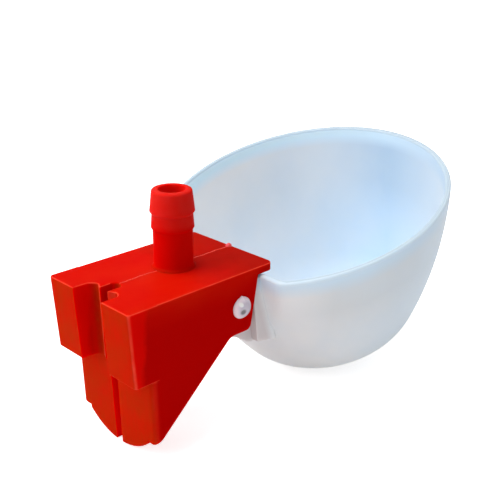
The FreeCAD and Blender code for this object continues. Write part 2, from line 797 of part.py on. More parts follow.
def build_return_spring():
    """Helix of round wire round the nozzle, between the roof and the spring seat."""
    end_room = "(size.spring_end_gap + size.spring_wire_radius)"
    room = f"(size.spring_seat_drop - size.roof_thickness - 2 * {end_room})"
    helix = document.addObject("Part::Helix", "spring_helix")
    helix.setExpression("Radius", "size.spring_radius")
    helix.setExpression("Height", room)
    helix.setExpression("Pitch", f"{room} / size.spring_turns")
    wire = document.addObject("Part::Circle", "spring_wire")
    wire.setExpression("Radius", "size.spring_wire_radius")
    wire.Placement.Rotation = FreeCAD.Rotation(Vector(1, 0, 0), 90)
    wire.setExpression("Placement.Base.x", "size.spring_radius")
    document.recompute()
    spring = document.addObject("Part::Sweep", "return_spring")
    spring.Label = "return_spring"
    spring.Sections = [wire]
    spring.Spine = (helix, ["Edge1"])
    spring.Solid = True
    spring.Frenet = True
    spring.setExpression("Placement.Base.z", f"{end_room} - size.spring_seat_drop")
    return spring


SUBPARTS = [
    build_bracket(),
    build_inlet_barb(),
    build_hinge_pin(),
    build_bowl(),
    build_valve_seal(),
    build_return_spring(),
]
document.recompute()
failed = [item.Name for item in document.Objects if {"Invalid", "Error"} & set(item.State)]
if failed:
    raise RuntimeError(f"not built: {failed}")
for subpart in SUBPARTS:
    if subpart.Shape.isNull() or not subpart.Shape.isValid():
        raise RuntimeError(f"{subpart.Label} has no valid shape")

os.makedirs("parts", exist_ok=True)
for subpart in SUBPARTS:
    subpart.Shape.exportStep(f"parts/{subpart.Label}.step")
    print(f"{subpart.Label}: {subpart.Shape.Volume:.1f} mm3, {len(subpart.Shape.Solids)} solid")
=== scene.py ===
import json
import math

import bmesh
import bpy
import numpy as np
from bpy.props import FloatProperty, FloatVectorProperty, PointerProperty
from mathutils import Matrix, Vector


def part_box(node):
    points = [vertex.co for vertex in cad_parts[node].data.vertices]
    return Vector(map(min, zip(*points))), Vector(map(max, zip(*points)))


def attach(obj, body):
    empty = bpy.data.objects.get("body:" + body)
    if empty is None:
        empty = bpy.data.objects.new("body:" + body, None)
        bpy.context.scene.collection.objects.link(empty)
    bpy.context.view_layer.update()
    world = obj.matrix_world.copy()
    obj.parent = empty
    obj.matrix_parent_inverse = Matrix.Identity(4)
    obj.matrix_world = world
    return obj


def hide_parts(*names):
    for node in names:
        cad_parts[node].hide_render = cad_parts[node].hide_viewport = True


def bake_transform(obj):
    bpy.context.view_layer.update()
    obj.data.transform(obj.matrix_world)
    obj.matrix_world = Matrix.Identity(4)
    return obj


bl_info = {
    "name": "Chick waterer",
    "version": (1, 0, 0),
    "blender": (4, 5, 0),
    "location": "3D View > Sidebar > Waterer",
    "description": "Surfaces, finishes and studio of a tipping chick waterer",
    "category": "Object",
}

# Lengths are in metres, in the part's own frame: origin on the inlet's axis at the roof's top,
# +Z up, +Y from the cage to the bowl, +X to the side of the hinge pin's head.

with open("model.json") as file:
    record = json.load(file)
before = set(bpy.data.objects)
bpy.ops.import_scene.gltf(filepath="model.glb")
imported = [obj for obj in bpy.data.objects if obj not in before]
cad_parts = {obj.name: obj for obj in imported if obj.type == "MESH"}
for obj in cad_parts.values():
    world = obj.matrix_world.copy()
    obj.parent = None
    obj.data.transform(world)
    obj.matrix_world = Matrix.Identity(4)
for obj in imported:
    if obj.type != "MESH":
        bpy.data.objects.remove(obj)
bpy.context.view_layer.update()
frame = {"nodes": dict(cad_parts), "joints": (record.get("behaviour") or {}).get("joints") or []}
BOWL_TIP = frame["joints"][0]
HINGE = Vector(BOWL_TIP["pos_m"])
REST_TILT = math.radians(-BOWL_TIP["range_deg"][0])
BOWL_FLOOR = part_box("bowl")[0].z

# Places on the red moulding
ROOF_FRONT = 0.0172
CHANNEL_END = -0.0145
WALL_FACE = 0.0136
WALL_INSIDE = 0.0120
EAR_FOOT = -0.0168
BLOCK_LEAN = 0.07
BLOCK_FRONT = -0.0181
SLIT_FACE = 0.0010
NECK_RADIUS = 0.00433
BORE_RADIUS = 0.0030
BARBS_FOOT = 0.0088

# Places on the bowl, from the hinge and with the bowl level
BOWL_MIDDLE = (0.0, 0.0365, -0.008)
RIM_ABOVE_HINGE = 0.00407
FLAT_WALL = 0.0080

# Places on the pin's head, towards +Y and +Z from the hinge
GATE_FROM_HINGE = (-0.0008, -0.0004)
GLINT_FROM_HINGE = (-0.0011, 0.0013)

# Camera of the photograph's view, and the lamps
CAMERA_AZIMUTH = 0.78981413
CAMERA_ELEVATION = 0.37447154
CAMERA_ROLL = 0.00742
CAMERA_PLACE = (0.133973, -0.109452, 0.071283)
SENSOR_WIDTH = 36
KEY_PLACE, KEY_SIZE = (-0.10, -0.10, 0.42), 0.34
REAR_PLACE, REAR_SIZE = (-0.20, -0.36, 0.16), 0.26
LAMPS_AIM = (0, 0.02, -0.01)
FLOOR_REACH = 1.5
WHITE = (1, 1, 1)


# Settings

class RedMouldingSettings(bpy.types.PropertyGroup):
    """Red plastic of the bracket and its barbed inlet."""

    colour: FloatVectorProperty(
        name="Colour", description="Red of the roof, the ears and the inlet",
        subtype="COLOR", size=3, min=0, max=1, default=(0.56, 0.0012, 0.0006))
    swirl_colour: FloatVectorProperty(
        name="Swirl colour", description="Lighter red of the swirls that the melt leaves",
        subtype="COLOR", size=3, min=0, max=1, default=(0.63, 0.013, 0.002))
    # Painted shade: deeper red on the side walls' outer faces, which face away from the lamps
    side_shade_colour: FloatVectorProperty(
        name="Wall colour", description="Deeper red where a thin wall stands over the dark hollow",
        subtype="COLOR", size=3, min=0, max=1, default=(0.49, 0.0006, 0.0004))
    # Painted shade: darker, duller red towards the roof's front
    front_shade_colour: FloatVectorProperty(
        name="Front colour", description="Duller red of the roof's thin front",
        subtype="COLOR", size=3, min=0, max=1, default=(0.37, 0.004, 0.001))
    # Painted light: orange red of the faces towards the cage, as the rear lamp and its sheen light
    # them
    rear_light_colour: FloatVectorProperty(
        name="Rear colour", description="Orange red of the faces that bear on the cage",
        subtype="COLOR", size=3, min=0, max=1, default=(0.40, 0.015, 0.0008))
    # Painted light: how many times brighter the glowing parts are, the ears' blocks, the inlet's
    # tube and the slit
    painted_glow: FloatProperty(
        name="Clear glow", description="How many times brighter the clearer parts are",
        default=1.35, min=1)
    # Painted highlight: pinkish red along the rounded edges, also the gate stub's second colour
    highlight_pink: FloatVectorProperty(
        name="Edge colour", description="Pinkish red of the polished edges",
        subtype="COLOR", size=3, min=0, max=1, default=(0.84, 0.085, 0.045))
    # Painted sheen: hazy, paler red on the barbs
    barb_sheen_colour: FloatVectorProperty(
        name="Scuff colour", description="Hazy red of the barbs, where hoses have rubbed",
        subtype="COLOR", size=3, min=0, max=1, default=(0.74, 0.050, 0.038))
    flash_colour: FloatVectorProperty(
        name="Flash colour", description="Light red of the thin parting ridge",
        subtype="COLOR", size=3, min=0, max=1, default=(0.80, 0.045, 0.020))
    # Painted light: bright red of the small fillet round the inlet's foot and of the bore's inside
    painted_light_red: FloatVectorProperty(
        name="Foot colour", description="Bright red of the small fillet round the inlet's foot",
        subtype="COLOR", size=3, min=0, max=1, default=(0.92, 0.006, 0.003))
    stub_colour: FloatVectorProperty(
        name="Stub colour", description="Pink of the gate's broken stub",
        subtype="COLOR", size=3, min=0, max=1, default=(0.84, 0.11, 0.14))
    scatter: FloatProperty(
        name="Scatter", description="How far light travels inside the red plastic",
        subtype="DISTANCE", unit="LENGTH", default=0.0012, min=0)
    roughness: FloatProperty(
        name="Roughness", description="Roughness of the tool's satin finish",
        subtype="FACTOR", default=0.40, min=0, max=1)
    gloss: FloatProperty(
        name="Gloss", description="Strength of the surface's reflections",
        subtype="FACTOR", default=0.003, min=0, max=1)


class MilkyMouldingSettings(bpy.types.PropertyGroup):
    """Milky plastic of the bowl."""

    outer_colour: FloatVectorProperty(
        name="Outer colour", description="Neutral white of the outer wall",
        subtype="COLOR", size=3, min=0, max=1, default=(0.715, 0.735, 0.755))
    # Painted light: warmer white of the neck and the arm, the red bracket's bounce light
    neck_bounce_colour: FloatVectorProperty(
        name="Neck colour", description="Warmer white of the neck and the arm",
        subtype="COLOR", size=3, min=0, max=1, default=(0.71, 0.66, 0.67))
    # Painted light: paler white of the bowl's lower outside and of the outside by the neck
    underside_light_colour: FloatVectorProperty(
        name="Underside colour", description="White of the bowl's lower outside",
        subtype="COLOR", size=3, min=0, max=1, default=(0.98, 0.97, 0.97))
    # Painted light: the bluish light inside the bowl, brighter towards its bottom
    inner_light_colour: FloatVectorProperty(
        name="Inner colour", description="Bluish white of the inner wall",
        subtype="COLOR", size=3, min=0, max=1, default=(0.49, 0.63, 0.765))
    bottom_light_colour: FloatVectorProperty(
        name="Bottom colour", description="Brighter bluish white of the bowl's bottom",
        subtype="COLOR", size=3, min=0, max=1, default=(0.62, 0.78, 0.94))
    rim_colour: FloatVectorProperty(
        name="Rim colour", description="Bluish white of the rim, through which light passes",
        subtype="COLOR", size=3, min=0, max=1, default=(0.65, 0.79, 0.91))
    # Painted shade: greyer blue of the rim's rounded top, which faces the lamps
    crown_shade_colour: FloatVectorProperty(
        name="Crown colour", description="Greyer blue of the rim's rounded top",
        subtype="COLOR", size=3, min=0, max=1, default=(0.55, 0.66, 0.75))
    # Painted shade: grey line along the rim's inner edge
    rim_edge_shade_colour: FloatVectorProperty(
        name="Edge colour", description="Grey of the rim's inner edge",
        subtype="COLOR", size=3, min=0, max=1, default=(0.40, 0.49, 0.57))
    # Painted light: paler rim on the far (-X) side, where more light falls
    far_rim_light_colour: FloatVectorProperty(
        name="Far rim colour", description="Paler white of the rim's far side",
        subtype="COLOR", size=3, min=0, max=1, default=(0.74, 0.87, 1.0))
    # Painted shade: greyer blue of the rim and the outside towards +X
    right_shade_colour: FloatVectorProperty(
        name="Right colour", description="Greyer blue of the rim and the outside towards +X",
        subtype="COLOR", size=3, min=0, max=1, default=(0.54, 0.66, 0.77))
    # Painted light: the bluish band on the outside below the rim
    rim_band: FloatProperty(
        name="Rim band", description="Height of the bluish band on the outside",
        subtype="DISTANCE", unit="LENGTH", default=0.0016, min=0)
    # Painted light: paler, greyer white of the inner wall's far side and towards +X
    inner_pale_light_colour: FloatVectorProperty(
        name="Far colour", description="Greyer white of the inner wall's far side",
        subtype="COLOR", size=3, min=0, max=1, default=(0.87, 0.86, 0.85))
    scatter: FloatProperty(
        name="Scatter", description="How far light travels inside the milky plastic",
        subtype="DISTANCE", unit="LENGTH", default=0.0018, min=0)
    roughness: FloatProperty(
        name="Roughness", description="Roughness of the bowl's satin finish",
        subtype="FACTOR", default=0.42, min=0, max=1)


class PinSettings(bpy.types.PropertyGroup):
    """Hinge pin, a translucent rivet."""

    colour: FloatVectorProperty(
        name="Colour", description="Tint of the unpigmented plastic",
        subtype="COLOR", size=3, min=0, max=1, default=(0.90, 0.81, 0.88))
    # Painted shade: darker tint in the middle of the head, its edge left paler as painted light
    core_shade_colour: FloatVectorProperty(
        name="Core colour", description="Darker tint in the middle of the head",
        subtype="COLOR", size=3, min=0, max=1, default=(0.62, 0.57, 0.66))
    gate_colour: FloatVectorProperty(
        name="Gate colour", description="Grey of the broken gate mark",
        subtype="COLOR", size=3, min=0, max=1, default=(0.16, 0.14, 0.15))
    head_radius: FloatProperty(
        name="Head radius", description="Radius of the domed head",
        subtype="DISTANCE", unit="LENGTH", default=0.0025, min=0)
    gate_radius: FloatProperty(
        name="Gate radius", description="Radius of the sunk gate mark in the head",
        subtype="DISTANCE", unit="LENGTH", default=0.0008, min=0)


class ValveSettings(bpy.types.PropertyGroup):
    """Seal and return spring under the roof."""

    rubber_colour: FloatVectorProperty(
        name="Rubber", description="Colour of the seal",
        subtype="COLOR", size=3, min=0, max=1, default=(0.028, 0.028, 0.030))
    steel_colour: FloatVectorProperty(
        name="Steel", description="Colour of the spring's wire",
        subtype="COLOR", size=3, min=0, max=1, default=(0.60, 0.60, 0.58))
    wire_radius: FloatProperty(
        name="Wire radius", description="Radius of the spring's wire",
        subtype="DISTANCE", unit="LENGTH", default=0.00027, min=0)
    coil_radius: FloatProperty(
        name="Coil radius", description="Radius of the spring's coil at the wire's centre",
        subtype="DISTANCE", unit="LENGTH", default=0.00462, min=0)
    turns: FloatProperty(
        name="Turns", description="Number of turns of the spring", default=4.5, min=1)


class StageSettings(bpy.types.PropertyGroup):
    """Floor, lamps and camera."""

    floor_colour: FloatVectorProperty(
        name="Floor", description="Colour of the floor",
        subtype="COLOR", size=3, min=0, max=1, default=(0.90, 0.90, 0.90))
    floor_glow: FloatProperty(
        name="Floor glow", description="Light that only the camera sees added to the floor",
        default=0.67, min=0)
    world_strength: FloatProperty(
        name="Room light", description="Strength of the even light of the room",
        default=0.50, min=0)
    key_power: FloatProperty(
        name="Key lamp", description="Power of the large lamp overhead",
        subtype="POWER", unit="POWER", default=1.45, min=0)
    rear_power: FloatProperty(
        name="Rear lamp", description="Power of the lamp behind the cage side",
        subtype="POWER", unit="POWER", default=0.82, min=0)
    lens: FloatProperty(
        name="Lens", description="Focal length of the camera",
        subtype="DISTANCE_CAMERA", default=61.62, min=1)


class WatererSettings(bpy.types.PropertyGroup):
    """All settings of the waterer."""

    red: PointerProperty(type=RedMouldingSettings, name="Red plastic")
    milky: PointerProperty(type=MilkyMouldingSettings, name="Milky plastic")
    pin: PointerProperty(type=PinSettings, name="Hinge pin")
    valve: PointerProperty(type=ValveSettings, name="Valve")
    stage: PointerProperty(type=StageSettings, name="Stage")


# Shares that a mesh carries for its material

INSIDE = "inside"
REAR = "rear"
SIDE = "side"
CREST = "crest"
GATE = "gate"


# Meshes

def add_piece(mesh, name, body, slot, *nodes):
    """Object for a finished mesh that rides on a body, if it has one, and stands for CAD nodes."""
    piece = bpy.data.objects.new(name, mesh)
    bpy.context.scene.collection.objects.link(piece)
    if body:
        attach(piece, body)
    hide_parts(*nodes)
    return piece


def corner_field(mesh):
    """Place and normal at each corner of each face of the mesh."""
    vertices = np.empty(len(mesh.loops), np.int32)
    mesh.loops.foreach_get("vertex_index", vertices)
    places = np.empty(len(mesh.vertices) * 3, np.float32)
    mesh.vertices.foreach_get("co", places)
    normals = np.empty(len(mesh.loops) * 3, np.float32)
    mesh.corner_normals.foreach_get("vector", normals)
    return places.reshape(-1, 3)[vertices].astype(float), normals.reshape(-1, 3).astype(float)


def ease(value, low, high):
    """Share that climbs from 0 at low to 1 at high, level at both ends: s * s * (3 - 2 * s)."""
    share = np.clip((value - low) / (high - low), 0, 1)
    return share * share * (3 - 2 * share)


def mark(mesh, name, share):
    """Give each corner of the mesh a share that its material reads."""
    attribute = mesh.attributes.new(name, "FLOAT", "CORNER")
    attribute.data.foreach_set("value", share.astype(np.float32))


def moulded_copy(name, node):
    """Mesh of a CAD node with its loose triangles joined.

    Corners that share a place, to a tenth of a micrometre, become one vertex, and each corner keeps
    the normal of the true surface that it was cut from.
    """
    points, normals = corner_field(frame["nodes"][node].data)
    keys = np.round(points * 1e7).astype(np.int64)
    _, first, merged = np.unique(keys, axis=0, return_index=True, return_inverse=True)
    triangles = merged.reshape(-1, 3)
    whole = (triangles != np.roll(triangles, 1, axis=1)).all(axis=1)
    mesh = bpy.data.meshes.new(name)
    mesh.from_pydata(points[first], [], triangles[whole].tolist())
    mesh.polygons.foreach_set("use_smooth", np.ones(len(mesh.polygons), bool))
    mesh.normals_split_custom_set(normals.reshape(-1, 3, 3)[whole].reshape(-1, 3).tolist())
    return mesh


def mark_red_faces(mesh, flat=True):
    """Shares for the red plastic, from the way that each surface faces, all zero on a round piece.

    REAR grows as the normal turns to the cage, SIDE as it turns to +X or -X, and CREST is 1 where
    it stands halfway between two of the axes, which is so in the middle of a rounded edge. Only an
    edge that stands out counts: the normals of its triangles move apart as their corners do.
    """
    places, normals = corner_field(mesh)
    corners = places.reshape(-1, 3, 3)
    directions = normals.reshape(-1, 3, 3)
    sides = np.roll(corners, 1, axis=1) - corners
    turns = np.roll(directions, 1, axis=1) - directions
    stands_out = np.repeat((turns * sides).sum((1, 2)) > 0, 3)
    largest = np.abs(normals).max(axis=1)
    mark(mesh, REAR, ease(-normals[:, 1], 0.55, 0.97) * flat)
    mark(mesh, SIDE, ease(np.abs(normals[:, 0]), 0.7, 0.98) * flat)
    mark(mesh, CREST, (1 - ease(largest, 0.80, 0.97)) * stands_out * flat)


def mark_inside(mesh):
    """Share from 0, on the bowl's outer wall, to 1, on its inner wall.

    It follows how far the surface faces the middle of the bowl, so that it changes over the rim.
    The neck and the arm, behind the bowl's flat wall, count as outside.
    """
    places, normals = corner_field(mesh)
    tilt = Matrix.Rotation(REST_TILT, 3, "X")
    away = places - np.array(HINGE + tilt @ Vector(BOWL_MIDDLE))
    away /= np.linalg.norm(away, axis=1)[:, None]
    facing = -(normals * away).sum(axis=1)
    from_hinge = places - np.array(HINGE)
    ahead = from_hinge @ np.array(tilt @ Vector((0, 1, 0)))
    above_rim = from_hinge @ np.array(tilt @ Vector((0, 0, 1))) - RIM_ABOVE_HINGE
    in_bowl = ease(ahead, FLAT_WALL - 0.0008, FLAT_WALL)
    faces_middle = np.maximum(ease(above_rim, -0.0030, -0.0015), ease(facing, -0.15, 0.15))
    mark(mesh, INSIDE, ease(facing, -0.75, -0.35) * faces_middle * in_bowl)


def grid_mesh(name, points, closed_along=False, closed_across=True):
    """Smooth mesh of a grid of points, rows by the first parameter and columns by the second."""
    rows, columns, _ = points.shape
    row = np.arange(rows if closed_along else rows - 1)
    column = np.arange(columns if closed_across else columns - 1)
    row, column = np.meshgrid(row, column, indexing="ij")
    below = row * columns
    above = (row + 1) % rows * columns
    beside = (column + 1) % columns
    faces = np.stack([below + column, below + beside, above + beside, above + column], -1)
    mesh = bpy.data.meshes.new(name)
    mesh.from_pydata(points.reshape(-1, 3), [], faces.reshape(-1, 4).tolist())
    mesh.polygons.foreach_set("use_smooth", np.ones(len(mesh.polygons), bool))
    return mesh


def tidy_mesh(mesh, sharp_angle):
    """Close poles and seams, turn all faces outwards and mark sharp edges."""
    work = bmesh.new()
    work.from_mesh(mesh)
    bmesh.ops.remove_doubles(work, verts=work.verts, dist=1e-7)
    bmesh.ops.dissolve_degenerate(work, edges=work.edges, dist=1e-8)
    bmesh.ops.recalc_face_normals(work, faces=work.faces)
    work.to_mesh(mesh)
    work.free()
    mesh.set_sharp_from_angle(angle=sharp_angle)
    return mesh


def revolved(radii, heights, turns=96):
    """Points of a profile turned about the Z axis.

    Row i is a circle of radius radii[i] at height heights[i], with evenly spaced points.
    """
    around = np.linspace(0, 2 * np.pi, turns, endpoint=False)
    radii = np.asarray(radii)[:, None]
    heights = np.broadcast_to(np.asarray(heights)[:, None], (len(radii), turns))
    return np.stack([radii * np.cos(around), radii * np.sin(around), heights], -1)


# Materials

class Wire:
    """Output of a node, on which arithmetic adds Math nodes."""

    def __init__(self, paint, socket):
        self.paint = paint
        self.socket = socket

    def math(self, operation, *values):
        """Math node on values and wires."""
        return self.paint.add("ShaderNodeMath", {"operation": operation}, dict(enumerate(values)))

    def __add__(self, other):
        return self.math("ADD", self, other)

    __radd__ = __add__

    def __sub__(self, other):
        return self.math("SUBTRACT", self, other)

    def __rsub__(self, other):
        return self.math("SUBTRACT", other, self)

    def __mul__(self, other):
        return self.math("MULTIPLY", self, other)

    __rmul__ = __mul__

    def waver(self, size):
        """Noise made an amount that wavers about zero, over a range of about a size."""
        return (self - 0.5) * size

    def clamped(self):
        """Value held between 0 and 1."""
        return self.paint.add("ShaderNodeClamp", {}, {"Value": self})


class Paint:
    """Nodes of one material, or of the world."""

    def __init__(self, owner):
        owner.use_nodes = True
        self.owner = owner
        self.nodes = owner.node_tree.nodes
        self.links = owner.node_tree.links
        self.nodes.clear()

    def add(self, kind, settings, sockets, output=0):
        """Node of a kind, its settings made first and then its sockets' values and links."""
        node = self.nodes.new(kind)
        for setting, value in settings.items():
            setattr(node, setting, value)
        for socket, value in sockets.items():
            if isinstance(value, Wire):
                self.links.new(value.socket, node.inputs[socket])
            else:
                node.inputs[socket].default_value = value
        return None if output is None else Wire(self, node.outputs[output])

    def place(self):
        """Object coordinates."""
        return self.add("ShaderNodeTexCoord", {}, {}, "Object")

    def axis(self, name):
        """X, Y or Z of the Object coordinates."""
        return self.add("ShaderNodeSeparateXYZ", {}, {"Vector": self.place()}, name)

    def share(self, name):
        """Share that the mesh carries."""
        return self.add("ShaderNodeAttribute", {"attribute_name": name}, {}, "Fac")

    def noise(self, scale, detail=3.0):
        """Noise on Object coordinates, with a scale of its own along each axis."""
        vector = self.add("ShaderNodeMapping", {}, {"Vector": self.place(), "Scale": scale})
        sockets = {"Vector": vector, "Scale": 1.0, "Detail": detail}
        return self.add("ShaderNodeTexNoise", {}, sockets, "Fac")

    def spread(self, value, low, high, to_low=0.0, to_high=1.0):
        """Value mapped from one range to another, and held inside it."""
        sockets = {"Value": value, "From Min": low, "From Max": high,
                   "To Min": to_low, "To Max": to_high}
        return self.add("ShaderNodeMapRange", {"clamp": True}, sockets)

    def blend(self, share, first, second):
        """Colour between two colours."""
        sockets = {0: share, 6: first, 7: second}
        return self.add("ShaderNodeMix", {"data_type": "RGBA"}, sockets, 2)

    def bump(self, height, distance, strength, normal=None):
        """Normal turned by the slopes of a height."""
        sockets = {"Height": height, "Distance": distance, "Strength": strength}
        if normal is not None:
            sockets["Normal"] = normal
        return self.add("ShaderNodeBump", {}, sockets)

    def seen(self):
        """1 for a ray that the camera sees, also by a reflection or through glass, and else 0."""
        camera, glossy, through = (
            self.add("ShaderNodeLightPath", {}, {}, name)
            for name in ("Is Camera Ray", "Is Glossy Ray", "Is Transmission Ray"))
        return (camera + glossy + through).clamped()

    def finish(self, shader, output="ShaderNodeOutputMaterial"):
        """Link the shader to the output."""
        self.add(output, {}, {"Surface": shader}, None)
        return self.owner


def rgba(colour, factor=1.0):
    """Colour made brighter or darker by a factor, with full alpha."""
    return (*(factor * value for value in colour), 1.0)


def squared(across, along):
    """Square of the distance from an axis."""
    return across * across + along * along


def red_plastic(settings):
    """Pigmented plastic with soft swirls and a satin tool finish.

    Light and shade are painted into its colour: painted shade, a deeper red, on the thin side walls
    that stand over the dark hollow and towards the roof's front; a painted glow in the ears' thick
    blocks, the inlet's thin tube, the slit and the bore; painted orange light and sheen, mottled,
    on the faces that bear on the cage; a painted sheen on the barbs; painted highlights along the
    edges.
    """
    paint = Paint(bpy.data.materials.new("red_moulding"))
    x, y, z = (paint.axis(name) for name in "XYZ")
    rear, side, crest = (paint.share(name) for name in (REAR, SIDE, CREST))
    swirl = paint.spread(paint.noise((90, 60, 140)), 0.35, 0.7)
    mottle = paint.spread(paint.noise((260, 260, 200), detail=4.0), 0.34, 0.70)
    streak = paint.spread(paint.noise((1100, 400, 35)), 0.40, 0.72)
    cloud = paint.noise((260, 260, 180))
    grain = paint.noise((2600, 2600, 2600), detail=2.0)

    # Parts of the moulding, each with a soft border
    in_ear = paint.spread(z, EAR_FOOT - 0.0008, EAR_FOOT + 0.0002)
    from_block = y - (BLOCK_FRONT + z * BLOCK_LEAN) + cloud.waver(0.003)
    in_block = in_ear * paint.spread(from_block, 0.0001, -0.0011)
    outside = paint.spread(x * x, WALL_INSIDE ** 2, (WALL_INSIDE + 0.0008) ** 2)
    # Painted shade on the side walls' outer faces below the roof, kept off the ears' blocks
    wall = side * outside * (1 - in_block)
    under_roof = paint.spread(z, -0.0005, -0.006)
    on_roof = swirl * paint.spread(z, 0.0008, 0.0002, 0.1, 0.6)
    to_front = paint.spread(y + (cloud + swirl * 0.5 - 0.75) * 0.012, -0.003, 0.013)
    in_inlet = paint.spread(z, 0.0002, 0.0008, 0.0, 0.3)
    from_axis = squared(x, y)
    in_bore = paint.spread(from_axis, (BORE_RADIUS + 0.0006) ** 2, BORE_RADIUS ** 2)
    # Painted light inside the bore
    bore = in_bore * paint.spread(z, 0.0, 0.001)
    slit = side * paint.spread(x * x, (SLIT_FACE + 0.0004) ** 2, (SLIT_FACE + 0.0001) ** 2)
    on_barbs = paint.spread(z + cloud.waver(0.002), BARBS_FOOT, BARBS_FOOT + 0.0014)
    # Painted sheen on the barbs, patchy with the swirls
    barb_sheen = on_barbs * paint.spread(swirl, 0.0, 1.0, 0.4, 1.0)
    # Painted highlight along the rounded edges, strongest on the ears and patchy
    highlight_strength = paint.spread(in_ear, 0.0, 1.0, 0.1, 0.8) * paint.spread(cloud, 0.35, 0.62, 0.5, 1.0)

    red = rgba(settings.colour)
    # Painted glow: the red made brighter for the ears' blocks, the inlet's tube and the slit
    glow_red = rgba(settings.colour, settings.painted_glow)
    # Painted light and sheen on the rear faces, mottled by noise
    mottled_rear_light = paint.blend(mottle * 0.45 + streak * 0.2, rgba(settings.rear_light_colour), red)
    body = paint.blend(on_roof, red, rgba(settings.swirl_colour))
    for share, colour in (
            # painted shade towards the roof's front
            (to_front * (1 - side), rgba(settings.front_shade_colour)),
            (wall * under_roof, rgba(settings.side_shade_colour)),
            # painted glow in the ears' blocks and the inlet's tube
            (side * in_block * 0.8, glow_red),
            (in_inlet, glow_red),
            (barb_sheen * 0.35, rgba(settings.barb_sheen_colour)),
            (rear * 0.95, mottled_rear_light),
            (crest * highlight_strength, rgba(settings.highlight_pink)),
            # painted glow in the slit
            (slit, glow_red),
            (bore * 0.6, rgba(settings.painted_light_red))):
        body = paint.blend(share, body, colour)
    relief = paint.bump(cloud + streak * rear * 0.4, 0.00007, 0.5)
    shader = paint.add("ShaderNodeBsdfPrincipled", {}, {
        "Base Color": body,
        "Roughness": settings.roughness + cloud.waver(0.16) + grain.waver(0.06) - crest * 0.08,
        "Normal": paint.bump(grain, 0.000012, 0.6, normal=relief),
        "IOR": 1.48,
        "Subsurface Weight": 1.0,
        "Subsurface Radius": (1.0, 0.06, 0.03),
        "Subsurface Scale": settings.scatter,
        "Specular IOR Level": settings.gloss,
    })
    return paint.finish(shader)


def red_flash(name, first, second):
    """Thin red plastic at a parting line, a foot or a gate, in two colours mixed by a grain."""
    paint = Paint(bpy.data.materials.new(name))
    grain = paint.noise((1400, 1400, 1400))
    shader = paint.add("ShaderNodeBsdfPrincipled", {}, {
        "Base Color": paint.blend(paint.spread(grain, 0.40, 0.65), rgba(first), rgba(second)),
        "Roughness": 0.30 + grain.waver(0.2),
        "Normal": paint.bump(grain, 0.00001, 0.4),
        "IOR": 1.48,
        "Specular IOR Level": 0.2,
    })
    return paint.finish(shader)


